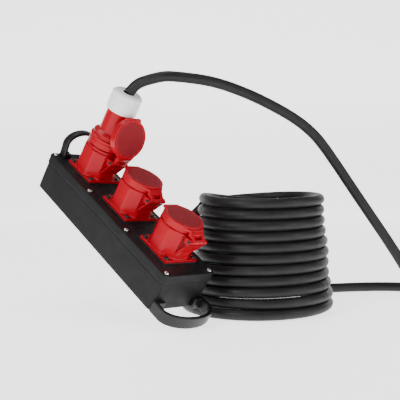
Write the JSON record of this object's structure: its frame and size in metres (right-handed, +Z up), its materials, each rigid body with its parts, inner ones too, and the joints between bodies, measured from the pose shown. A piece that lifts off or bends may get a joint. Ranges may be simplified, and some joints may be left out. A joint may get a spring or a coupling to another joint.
{
  "type": "power distribution box",
  "caption": "Long black portable power distribution box with a row of red lidded five-pole sockets, end handles, a plug in one socket and a conical coil of thick rubber lead.",
  "frame": {"origin": "on the floor, under the centre of the case's box (the case with its handles, sockets, lids and cable gland, without the lead and its plug)", "axes": "+X along the case towards its lower end, +Z up, +Y towards the coil of lead; the case leans 32 degrees down along +X and 3.3 degrees over towards +Y"},
  "size_m": [0.4973, 0.6103, 0.3981],
  "materials": {
    "case_plastic": "fine eroded texture",
    "handle_plastic": "satin",
    "signal_red_plastic": "gloss",
    "insert_plastic": "satin",
    "nut_plastic": "satin",
    "terminal_plastic": "matt",
    "seal_rubber": "matt",
    "lead_rubber": "semi-matt",
    "zinc_steel": "bright zinc",
    "stainless_steel": "drawn"
  },
  "bodies": {
    "case": {"carry_loop": "handle_plastic", "carry_loop_screw_1": "zinc_steel", "carry_loop_screw_2": "zinc_steel", "contact_insert_1": "insert_plastic", "contact_insert_2": "insert_plastic", "contact_insert_3": "insert_plastic", "cover_gasket": "seal_rubber", "cover_screw_1": "zinc_steel", "cover_screw_2": "zinc_steel", "cover_screw_3": "zinc_steel", "cover_screw_4": "zinc_steel", "cover_screw_5": "zinc_steel", "cover_screw_6": "zinc_steel", "cover_screw_7": "zinc_steel", "cover_screw_8": "zinc_steel", "flange_screw_1_1": "zinc_steel", "flange_screw_1_2": "zinc_steel", "flange_screw_1_3": "zinc_steel", "flange_screw_1_4": "zinc_steel", "flange_screw_2_1": "zinc_steel", "flange_screw_2_2": "zinc_steel", "flange_screw_2_3": "zinc_steel", "flange_screw_2_4": "zinc_steel", "flange_screw_3_1": "zinc_steel", "flange_screw_3_2": "zinc_steel", "flange_screw_3_3": "zinc_steel", "flange_screw_3_4": "zinc_steel", "gland_body": "handle_plastic", "gland_boot": "lead_rubber", "gland_nut": "handle_plastic", "hinge_pin_1": "stainless_steel", "hinge_pin_2": "stainless_steel", "hinge_pin_3": "stainless_steel", "housing_base": "case_plastic", "lead_coil": "lead_rubber", "lead_from_gland": "lead_rubber", "lead_to_plug": "lead_rubber", "lid_spring_1": "stainless_steel", "lid_spring_2": "stainless_steel", "lid_spring_3": "stainless_steel", "pull_handle": "handle_plastic", "pull_handle_screw_1": "zinc_steel", "pull_handle_screw_2": "zinc_steel", "socket_body_1": "signal_red_plastic", "socket_body_2": "signal_red_plastic", "socket_body_3": "signal_red_plastic", "socket_gasket_1": "seal_rubber", "socket_gasket_2": "seal_rubber", "socket_gasket_3": "seal_rubber", "terminal_block": "terminal_plastic", "top_cover": "case_plastic"},
    "lid_1": {"lid_1": "signal_red_plastic", "lid_seal_1": "seal_rubber"},
    "lid_2": {"lid_2": "signal_red_plastic", "lid_seal_2": "seal_rubber"},
    "lid_3": {"lid_3": "signal_red_plastic", "lid_seal_3": "seal_rubber"},
    "plug": {"plug_shell": "signal_red_plastic", "plug_front": "insert_plastic", "plug_nut": "nut_plastic"}
  },
  "joints": [
    {"name": "lid_1_hinge", "type": "hinge", "parent": "case", "child": "lid_1", "pos_m": [-0.02086, -0.02553, 0.24749], "axis": [-0.0305, 0.9983, -0.0488], "range_deg": [0, 25], "stiffness_Nm_per_rad": 0.03, "springref_deg": -130.06},
    {"name": "lid_2_hinge", "type": "hinge", "parent": "case", "child": "lid_2", "pos_m": [0.07242, -0.02553, 0.1892], "axis": [-0.0305, 0.9983, -0.0488], "range_deg": [0, 100], "stiffness_Nm_per_rad": 0.03, "springref_deg": -57.3},
    {"name": "lid_3_hinge", "type": "hinge", "parent": "case", "child": "lid_3", "pos_m": [0.16571, -0.02553, 0.1309], "axis": [-0.0305, 0.9983, -0.0488], "range_deg": [0, 100], "stiffness_Nm_per_rad": 0.03, "springref_deg": -57.3},
    {"name": "plug_pull", "type": "slide", "parent": "case", "child": "plug", "axis": [0.529, 0.0576, 0.8466], "range_m": [0, 0.03], "deforming": ["lead_to_plug"]}
  ]
}
